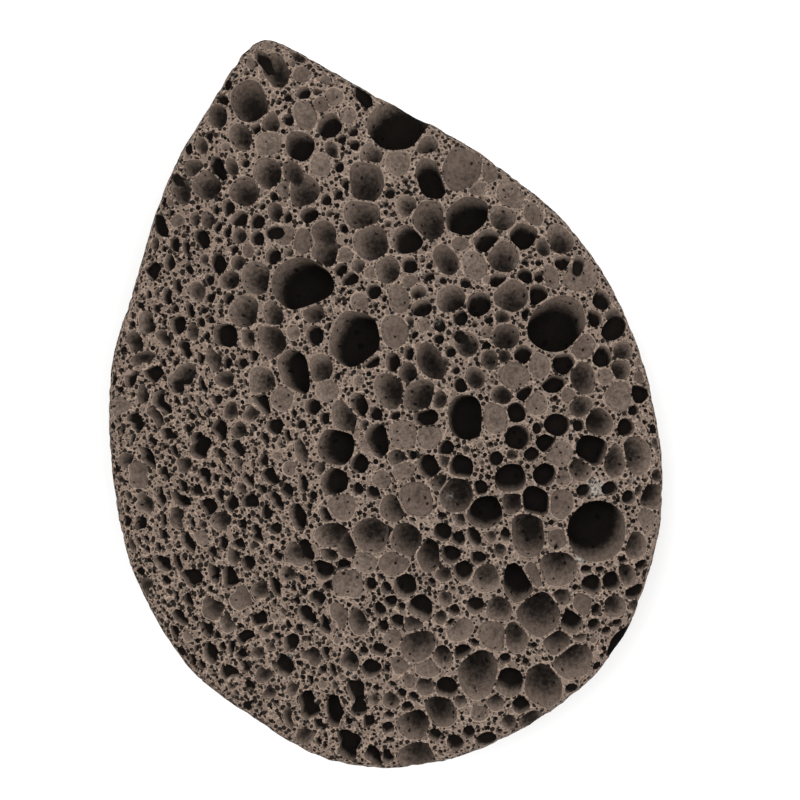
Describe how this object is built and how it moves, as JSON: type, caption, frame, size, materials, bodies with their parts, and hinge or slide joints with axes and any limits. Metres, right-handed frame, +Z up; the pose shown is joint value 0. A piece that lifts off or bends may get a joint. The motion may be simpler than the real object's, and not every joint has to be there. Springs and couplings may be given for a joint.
{
  "type": "pumice stone",
  "caption": "Teardrop-shaped slab of dark porous lava with sawn flat faces and a rounded edge, held in the hand to rub rough skin smooth.",
  "frame": {"origin": "middle of the underside that the stone rests on", "axes": "+Y towards the narrow tip, +X across the stone, +Z up out of the upper sawn face"},
  "size_m": [0.074, 0.1, 0.025],
  "materials": {
    "lava": "dry, dull, bubbly lava rock with sawn faces"
  },
  "bodies": {
    "root": {"pumice_stone": "lava"}
  },
  "joints": []
}
